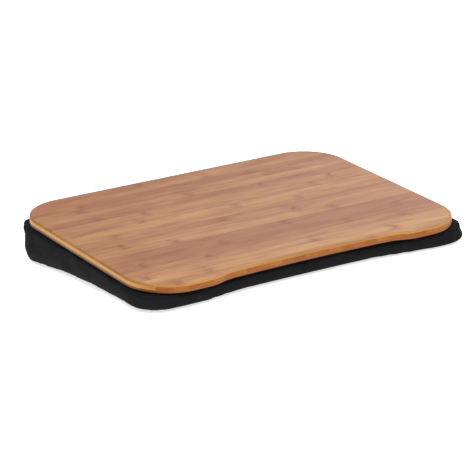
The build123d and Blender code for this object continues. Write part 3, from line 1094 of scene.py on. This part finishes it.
def bevelledCopy(node, body, material, width, segments=2):
    bm = mergedCopy(node, flat=zipper["nearlyFlat"])
    edges = [e for e in bm.edges
             if len(e.link_faces) == 2 and e.calc_face_angle(0) > radians(zipper["bevelPast"])]
    rubbed = bm.faces.layers.float.new("rubbed")
    rounded = bmesh.ops.bevel(bm, geom=edges, offset=width * mm, segments=segments, profile=0.5,
                              affect="EDGES", material=-1, clamp_overlap=True)
    for face in rounded["faces"]:
        face[rubbed] = 1.0
    finishPiece(bm, node, body, material, sharp=50)


# cloth tape: polyester herringbone, drawn as fine diagonals that turn back at each band
def zipTapeMaterial():
    band, spacing = zipper["herringbone"]
    material, tree, coord = startMaterial("herringboneTape")
    scaled = addNode(tree, "Mapping", {"Scale": (1000, 1000, 1000)}, {"Vector": coord})
    part = addNode(tree, "SeparateXYZ", links={0: scaled})
    bent = addNode(tree, "Math PINGPONG", {1: band}, {0: part.outputs[2]})
    slant = addNode(tree, "Math ADD", {}, {0: part.outputs[0], 1: bent})
    turn = addNode(tree, "Math MULTIPLY", {1: 2 * pi / spacing}, {0: slant})
    wave = addNode(tree, "Math SINE", {}, {0: turn})
    height = addNode(tree, "Math MULTIPLY_ADD", {1: 0.5, 2: 0.5}, {0: wave})
    # painted shade: the tape is darker where its diagonals are low
    colour = addNode(tree, "ValToRGB", links={0: height}, stops=((0.1, "0E0E10"), (0.9, "26262A")))
    bump = addNode(tree, "Bump", {"Strength": 0.5, "Distance": 0.12 * mm}, {"Height": height})
    return endMaterial(material, {"Roughness": 0.75}, {"Base Color": colour, "Normal": bump})


# moulded acetal: satin, with a faint mottle from the mould, about 2 mm across
def acetalMaterial():
    material, tree, coord = startMaterial("mouldedAcetal")
    mottle = addNode(tree, "TexNoise", {"Scale": 420.0, "Detail": 3.0}, {"Vector": coord})
    colour = addNode(tree, "ValToRGB", links={0: mottle}, stops=((0.3, "141416"), (0.8, "222226")))
    gloss = addNode(tree, "MapRange", {"To Min": 0.3, "To Max": 0.46}, {"Value": mottle})
    return endMaterial(material, {}, {"Base Color": colour, "Roughness": gloss})


# stove enamel on die-cast zinc: glossy black, worn to a lighter grey in specks of about 1 mm on the
# edges that get rubbed
def enamelMaterial():
    material, tree, coord = startMaterial("blackEnamelOnZinc")
    rubbed = addNode(tree, "Attribute", {"attribute_name": "rubbed"})
    speck = addNode(tree, "TexNoise", {"Scale": 700.0, "Detail": 4.0}, {"Vector": coord})
    spotty = addNode(tree, "MapRange", {"From Min": 0.48, "From Max": 0.62, "To Max": 0.7}, {"Value": speck})
    worn = addNode(tree, "Math MULTIPLY", {}, {0: rubbed.outputs["Fac"], 1: spotty})
    colour = addNode(tree, "MixRGB", {"Color1": linear("131315"), "Color2": linear("8C8C8E")}, {"Fac": worn})
    gloss = addNode(tree, "MapRange", {"To Min": 0.22, "To Max": 0.34}, {"Value": speck})
    return endMaterial(material, {}, {"Base Color": colour, "Metallic": worn, "Roughness": gloss})


# two rows of stitches on the cloth above and below the zip, and a bar tack past each end of the chain
def makeZipStitches():
    z = zipper
    behind = 0.25  # rays start here, well behind the cushion
    bpy.context.view_layer.update()
    graph = bpy.context.evaluated_depsgraph_get()
    places = []
    pitch = z["stitch"][0]
    count = int((2 * zipEnd / mm - z["stitchMargin"]) / pitch)
    for pieceName, edge, side in (("backBandUpper", slotHigh, 1), ("backBandLower", slotLow, -1)):
        tree = BVHTree.FromObject(bpy.data.objects[pieceName], graph)
        for row in z["stitchRows"]:
            height = edge + side * row * mm
            for i in range(count):
                x = (i - (count - 1) / 2) * pitch * mm
                hit, normal, _, _ = tree.ray_cast(Vector((x, behind, height)), -along)
                if hit:
                    run = (across - normal * normal.x).normalized()
                    places.append(stitchPlace(hit, run, normal, z["stitch"]))
    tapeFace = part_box("zip_tape_upper")[1].y
    for end in (-1, 1):
        for i in range(z["tackThreads"]):
            x = end * (z["chainEnd"] + z["closeOver"] + z["tackStart"] + i * z["tack"][0]) * mm
            places.append(stitchPlace(Vector((x, tapeFace, zipHeight)), upright, along, z["tack"]))
    thread = bmesh.new()
    addCopies(thread, stitchShape(), places)
    finishPiece(thread, "zip_stitches", "cushion", blackThread, sharp=60)


def makeZip():
    z = zipper
    cloth = zipTapeMaterial()
    makeTape("zip_tape_upper", 1, cloth)
    makeTape("zip_tape_lower", -1, cloth)
    acetal, enamel = acetalMaterial(), enamelMaterial()
    for side in ("upper", "lower"):
        bevelledCopy(f"zip_teeth_{side}", "cushion", acetal, z["toothBevel"], segments=1)
    bevelledCopy("zip_stops", "cushion", acetal, z["toothBevel"])
    bevelledCopy("zip_slider", "zip_slider", enamel, z["sliderBevel"])
    bevelledCopy("zip_pull", "zip_pull", enamel, z["pullBevel"])
    makeZipStitches()


makeZip()
print("zip made")
